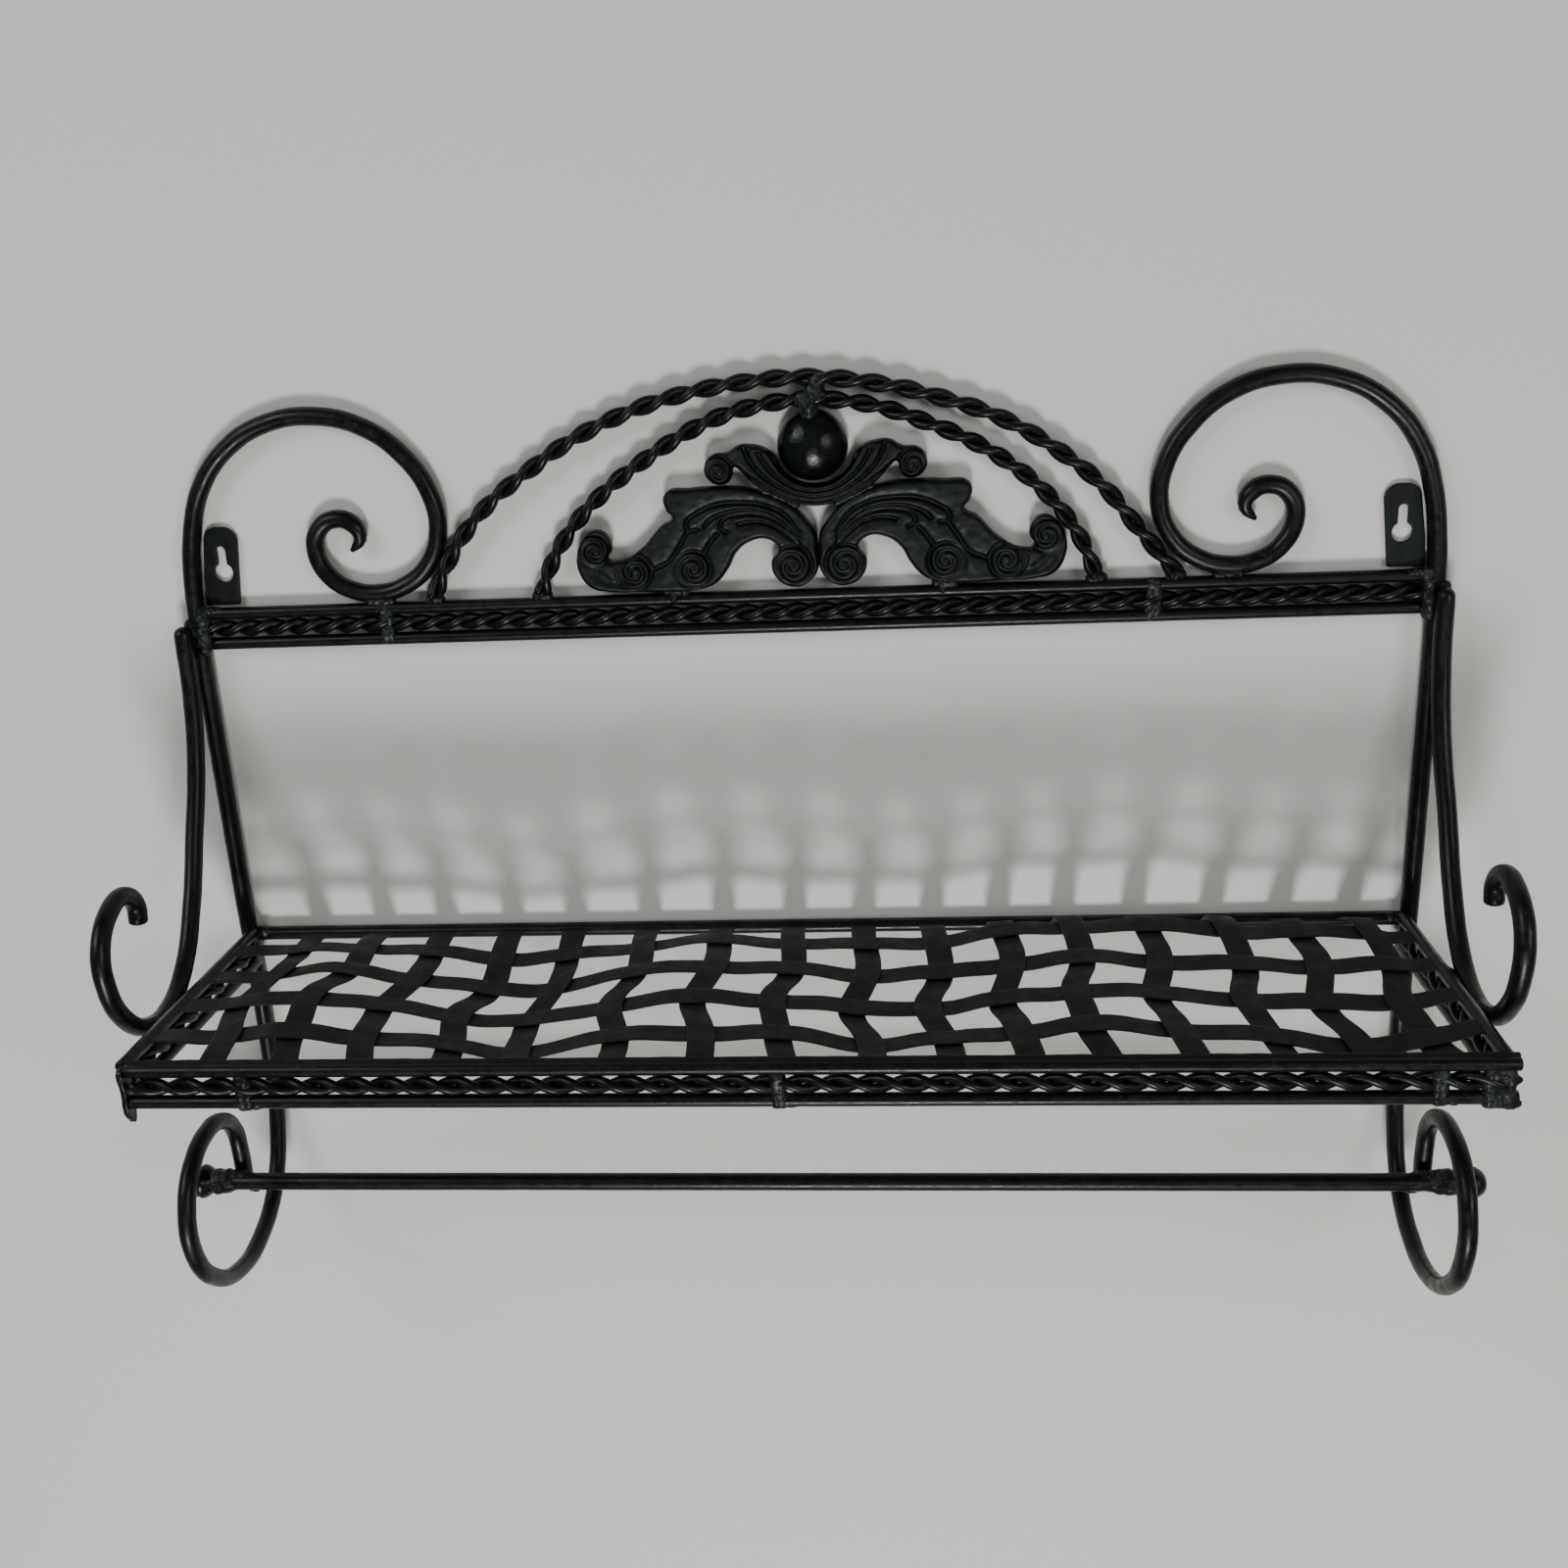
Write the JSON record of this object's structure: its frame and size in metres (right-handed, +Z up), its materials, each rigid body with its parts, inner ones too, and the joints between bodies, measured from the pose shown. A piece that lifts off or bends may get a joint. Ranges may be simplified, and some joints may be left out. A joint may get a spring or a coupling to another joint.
{
  "type": "towel rack",
  "caption": "Wall-hung wrought iron shelf with scrolled sides, woven strip shelf, rope arches over a cast leaf ornament, and a towel bar below.",
  "frame": {"origin": "on the wall's face, midway between the two keyholes, at the height where the screw necks rest at the top of their slots", "axes": "+X to the right for someone facing the wall, +Y into the wall, +Z up"},
  "size_m": [0.637, 0.1618, 0.4322],
  "materials": {
    "rod_paint": "semi-gloss black paint over round iron rod, faint blue-green sheen",
    "slat_paint": "matt brownish black paint over flat iron strip",
    "cast_paint": "satin black paint over castings, with lighter blue-grey on the raised relief"
  },
  "bodies": {
    "root": {"ball": "cast_paint", "cross_slat_01": "slat_paint", "cross_slat_02": "slat_paint", "cross_slat_03": "slat_paint", "cross_slat_04": "slat_paint", "cross_slat_05": "slat_paint", "cross_slat_06": "slat_paint", "cross_slat_07": "slat_paint", "cross_slat_08": "slat_paint", "cross_slat_09": "slat_paint", "cross_slat_10": "slat_paint", "cross_slat_11": "slat_paint", "cross_slat_12": "slat_paint", "cross_slat_13": "slat_paint", "cross_slat_14": "slat_paint", "cross_slat_15": "slat_paint", "cross_slat_16": "slat_paint", "cup": "cast_paint", "front_left_corner_plate": "rod_paint", "front_tie_1": "rod_paint", "front_tie_2": "rod_paint", "front_tie_3": "rod_paint", "inner_arch_strand_a": "rod_paint", "inner_arch_strand_b": "rod_paint", "leaf_left": "cast_paint", "leaf_right": "cast_paint", "left_brace": "rod_paint", "left_finial": "rod_paint", "left_hanger_plate": "rod_paint", "left_side_rod": "rod_paint", "long_slat_1": "slat_paint", "long_slat_2": "slat_paint", "long_slat_3": "slat_paint", "long_slat_4": "slat_paint", "outer_arch_strand_a": "rod_paint", "outer_arch_strand_b": "rod_paint", "rail_lower_rod": "rod_paint", "rail_tie_1": "rod_paint", "rail_tie_2": "rod_paint", "rail_twist": "rod_paint", "rail_upper_rod": "rod_paint", "right_brace": "rod_paint", "right_finial": "rod_paint", "right_hanger_plate": "rod_paint", "right_side_rod": "rod_paint", "shelf_back_rod": "rod_paint", "shelf_front_lower_rod": "rod_paint", "shelf_front_twist": "rod_paint", "shelf_front_upper_rod": "rod_paint", "shelf_left_lower_rod": "rod_paint", "shelf_left_twist": "rod_paint", "shelf_left_upper_rod": "rod_paint", "shelf_right_lower_rod": "rod_paint", "shelf_right_twist": "rod_paint", "shelf_right_upper_rod": "rod_paint", "towel_bar": "rod_paint"}
  },
  "joints": []
}
